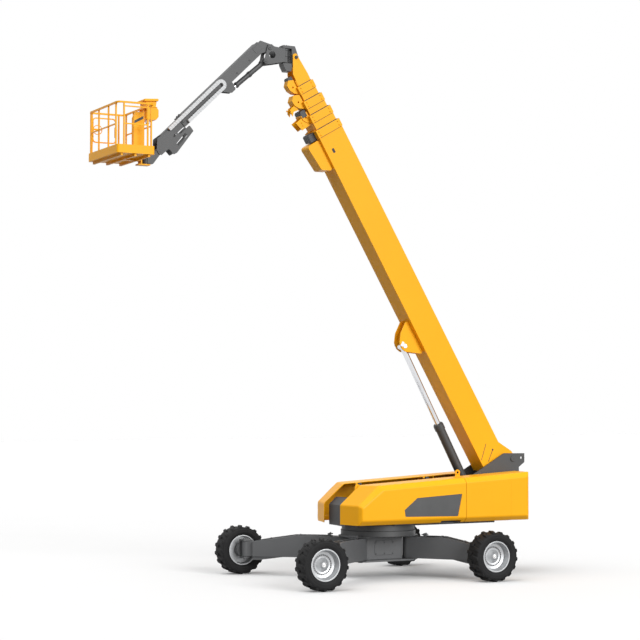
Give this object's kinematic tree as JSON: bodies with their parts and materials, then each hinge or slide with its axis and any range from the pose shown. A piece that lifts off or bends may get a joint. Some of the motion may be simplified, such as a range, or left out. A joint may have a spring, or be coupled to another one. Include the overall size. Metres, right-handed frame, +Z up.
{
  "type": "telescopic boom lift",
  "caption": "Self-propelled telescopic boom lift on swing-out axle legs, with slewing turntable, telescoping jib and a level work basket.",
  "frame": {"origin": "on the ground in the middle of the machine's overall length and width, boom raised as stored", "axes": "+X towards the basket, +Y to the machine's left, +Z up"},
  "size_m": [10.8368, 4.725, 12.4156],
  "materials": {
    "yellow": "gloss paint",
    "dark": "satin paint",
    "chrome": "hard chrome",
    "steel": "bright zinc",
    "tyre": "rubber",
    "rim": "silver paint",
    "engine": "dark"
  },
  "bodies": {
    "chassis": {"chassis_box": "dark", "slew_ring": "dark"},
    "turntable": {"turntable_frame": "dark", "side_plate_left": "dark", "side_plate_right": "dark", "foot_pins": "dark", "nose_panel": "dark", "rear_cover_left": "yellow", "rear_cover_right": "yellow", "counterweight": "yellow", "engine": "engine", "tank": "engine"},
    "hood_left": {"hood_left": "yellow"},
    "hood_right": {"hood_right": "yellow"},
    "boom": {"boom_base": "yellow"},
    "section_2": {"boom_section_2": "yellow"},
    "section_3": {"boom_section_3": "yellow"},
    "section_4": {"boom_section_4": "yellow"},
    "section_5": {"boom_section_5": "yellow"},
    "lift_barrel": {"lift_barrel": "dark"},
    "lift_rod": {"lift_rod": "chrome"},
    "tip_knuckle": {"tip_knuckle": "dark"},
    "swing_bracket": {"swing_bracket": "dark"},
    "jib": {"jib_outer": "dark", "cable_carrier": "steel"},
    "jib_slide": {"jib_inner": "dark", "jib_head": "dark"},
    "jib_barrel": {"jib_barrel": "dark"},
    "jib_rod": {"jib_rod": "chrome"},
    "platform_arm": {"platform_arm": "dark"},
    "basket": {"basket_floor": "yellow", "guard_rails": "yellow", "console": "yellow", "locker": "yellow"},
    "gate": {"gate": "yellow"},
    "leg_fl": {"axle_leg_fl": "dark"},
    "knuckle_fl": {"knuckle_fl": "dark"},
    "wheel_fl": {"rim_fl": "rim", "tyre_fl": "tyre"},
    "leg_fr": {"axle_leg_fr": "dark"},
    "knuckle_fr": {"knuckle_fr": "dark"},
    "wheel_fr": {"rim_fr": "rim", "tyre_fr": "tyre"},
    "leg_rl": {"axle_leg_rl": "dark"},
    "knuckle_rl": {"knuckle_rl": "dark"},
    "wheel_rl": {"rim_rl": "rim", "tyre_rl": "tyre"},
    "leg_rr": {"axle_leg_rr": "dark"},
    "knuckle_rr": {"knuckle_rr": "dark"},
    "wheel_rr": {"rim_rr": "rim", "tyre_rr": "tyre"}
  },
  "joints": [
    {"name": "leg_swing_fl", "type": "hinge", "parent": "chassis", "child": "leg_fl", "pos_m": [-0.86, 0.33, 0.7], "axis": [0, 0, -1], "range_deg": [0, 24]},
    {"name": "steer_fl", "type": "hinge", "parent": "leg_fl", "child": "knuckle_fl", "pos_m": [1.095, 1.78, 0.5775], "axis": [0, 0, 1], "range_deg": [-28, 28]},
    {"name": "spin_fl", "type": "hinge", "parent": "knuckle_fl", "child": "wheel_fl", "pos_m": [1.095, 2.14, 0.5775], "axis": [0, 1, 0], "continuous": true},
    {"name": "leg_swing_fr", "type": "hinge", "parent": "chassis", "child": "leg_fr", "pos_m": [-0.86, -0.33, 0.7], "axis": [0, 0, 1], "range_deg": [0, 24]},
    {"name": "steer_fr", "type": "hinge", "parent": "leg_fr", "child": "knuckle_fr", "pos_m": [1.095, -1.78, 0.5775], "axis": [0, 0, 1], "range_deg": [-28, 28]},
    {"name": "spin_fr", "type": "hinge", "parent": "knuckle_fr", "child": "wheel_fr", "pos_m": [1.095, -2.14, 0.5775], "axis": [0, 1, 0], "continuous": true},
    {"name": "leg_swing_rl", "type": "hinge", "parent": "chassis", "child": "leg_rl", "pos_m": [-2.16, 0.33, 0.7], "axis": [0, 0, 1], "range_deg": [0, 32]},
    {"name": "steer_rl", "type": "hinge", "parent": "leg_rl", "child": "knuckle_rl", "pos_m": [-3.315, 1.78, 0.5775], "axis": [0, 0, 1], "range_deg": [-28, 28]},
    {"name": "spin_rl", "type": "hinge", "parent": "knuckle_rl", "child": "wheel_rl", "pos_m": [-3.315, 2.14, 0.5775], "axis": [0, 1, 0], "continuous": true},
    {"name": "leg_swing_rr", "type": "hinge", "parent": "chassis", "child": "leg_rr", "pos_m": [-2.16, -0.33, 0.7], "axis": [0, 0, -1], "range_deg": [0, 32]},
    {"name": "steer_rr", "type": "hinge", "parent": "leg_rr", "child": "knuckle_rr", "pos_m": [-3.315, -1.78, 0.5775], "axis": [0, 0, 1], "range_deg": [-28, 28]},
    {"name": "spin_rr", "type": "hinge", "parent": "knuckle_rr", "child": "wheel_rr", "pos_m": [-3.315, -2.14, 0.5775], "axis": [0, 1, 0], "continuous": true},
    {"name": "slew", "type": "hinge", "parent": "chassis", "child": "turntable", "pos_m": [-1.51, 0, 1.11], "axis": [0, 0, 1], "continuous": true},
    {"name": "hood_left_open", "type": "hinge", "parent": "turntable", "child": "hood_left", "pos_m": [-2.11, 0.383, 2.22632], "axis": [0.9984, 0, -0.0574], "range_deg": [0, 60]},
    {"name": "hood_right_open", "type": "hinge", "parent": "turntable", "child": "hood_right", "pos_m": [-2.11, -0.383, 2.22632], "axis": [-0.9984, 0, 0.0574], "range_deg": [0, 60]},
    {"name": "boom_lift", "type": "hinge", "parent": "turntable", "child": "boom", "pos_m": [-5.08, 0, 2.72], "axis": [0, -1, 0], "range_deg": [-59.9, 15.1]},
    {"name": "extend_2", "type": "slide", "parent": "boom", "child": "section_2", "axis": [0.5015, 0, 0.8652], "range_m": [0, 7.2]},
    {"name": "extend_3", "type": "slide", "parent": "section_2", "child": "section_3", "axis": [0.5015, 0, 0.8652], "range_m": [0, 7.2]},
    {"name": "extend_4", "type": "slide", "parent": "section_3", "child": "section_4", "axis": [0.5015, 0, 0.8652], "range_m": [0, 7.2]},
    {"name": "extend_5", "type": "slide", "parent": "section_4", "child": "section_5", "axis": [0.5015, 0, 0.8652], "range_m": [0, 7.2]},
    {"name": "lift_barrel_pivot", "type": "hinge", "parent": "turntable", "child": "lift_barrel", "pos_m": [-4.16, 0, 1.7], "axis": [0, -1, 0], "range_deg": [-61.2, 15.5]},
    {"name": "lift_rod_slide", "type": "slide", "parent": "lift_barrel", "child": "lift_rod", "axis": [0.469, 0, 0.8832], "range_m": [-1.2775, 0.3235]},
    {"name": "tip_level", "type": "hinge", "parent": "section_5", "child": "tip_knuckle", "pos_m": [0.73211, 0, 12.10236], "axis": [0, -1, 0], "range_deg": [-15.2, 60]},
    {"name": "jib_swing", "type": "hinge", "parent": "tip_knuckle", "child": "swing_bracket", "pos_m": [0.95211, 0, 12.12536], "axis": [0, 0, 1], "range_deg": [-60, 60]},
    {"name": "jib_lift", "type": "hinge", "parent": "swing_bracket", "child": "jib", "pos_m": [1.40411, 0, 12.26836], "axis": [0, -1, 0], "range_deg": [-10, 114]},
    {"name": "jib_extend", "type": "slide", "parent": "jib", "child": "jib_slide", "axis": [0.7193, 0, -0.6947], "range_m": [0, 1.6], "deforming": ["cable_carrier"]},
    {"name": "jib_barrel_pivot", "type": "hinge", "parent": "swing_bracket", "child": "jib_barrel", "pos_m": [1.50811, 0, 11.93536], "axis": [0, -1, 0], "range_deg": [-10.3, 116.38]},
    {"name": "jib_rod_slide", "type": "slide", "parent": "jib_barrel", "child": "jib_rod", "axis": [0.7618, 0, -0.6479], "range_m": [-0.0526, 0.579]},
    {"name": "platform_level", "type": "hinge", "parent": "jib_slide", "child": "platform_arm", "pos_m": [4.10784, 0, 9.71301], "axis": [0, -1, 0], "range_deg": [-114.1, 10.1]},
    {"name": "platform_turn", "type": "hinge", "parent": "platform_arm", "child": "basket", "pos_m": [4.39984, 0, 9.50001], "axis": [0, 0, 1], "range_deg": [-90, 90]},
    {"name": "gate_swing", "type": "hinge", "parent": "basket", "child": "gate", "pos_m": [5.33484, -0.889, 10.20001], "axis": [0, 0, -1], "range_deg": [0, 85]}
  ],
  "couplings": [
    {"joint": "extend_3", "follows": "extend_2", "ratio": 1},
    {"joint": "extend_4", "follows": "extend_2", "ratio": 1},
    {"joint": "extend_5", "follows": "extend_2", "ratio": 1},
    {"joint": "lift_barrel_pivot", "follows": "boom_lift", "ratio": 1.02},
    {"joint": "lift_rod_slide", "follows": "boom_lift", "m_per_rad": 1.22},
    {"joint": "tip_level", "follows": "boom_lift", "ratio": -1},
    {"joint": "jib_barrel_pivot", "follows": "jib_lift", "ratio": 1.02},
    {"joint": "jib_rod_slide", "follows": "jib_lift", "m_per_rad": 0.29},
    {"joint": "platform_level", "follows": "jib_lift", "ratio": -1}
  ]
}
